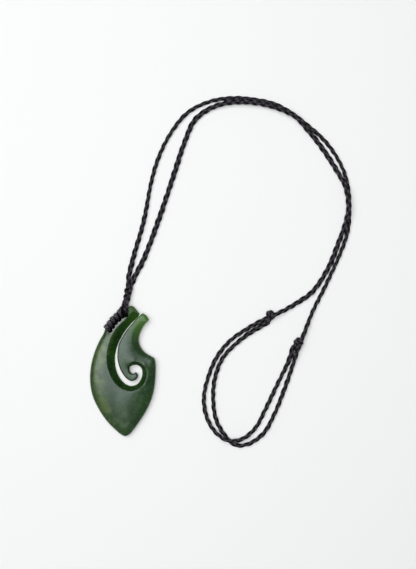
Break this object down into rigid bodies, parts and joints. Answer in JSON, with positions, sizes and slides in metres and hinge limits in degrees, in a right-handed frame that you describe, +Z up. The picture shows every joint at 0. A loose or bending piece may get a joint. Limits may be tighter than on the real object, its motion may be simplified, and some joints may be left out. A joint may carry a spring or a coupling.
{
  "type": "hei matau pendant",
  "caption": "Carved green stone fish-hook pendant with a curled slot, lashed to a plaited black cord that is closed and adjusted by sliding knots.",
  "frame": {"origin": "under the middle of the stone hook, on the surface that it lies on", "axes": "+X across the hook towards its point, +Y along the hook towards the lashing, +Z up out of its front face"},
  "size_m": [0.1126, 0.1512, 0.0063],
  "materials": {
    "stone": "polished green stone",
    "thread": "waxed thread",
    "cord": "plaited waxed thread"
  },
  "bodies": {
    "root": {"hook": "stone", "binding": "thread", "neck_plait": "cord", "cord_outer": "cord", "cord_inner": "cord", "knot_upper": "cord", "knot_lower": "cord"}
  },
  "joints": []
}
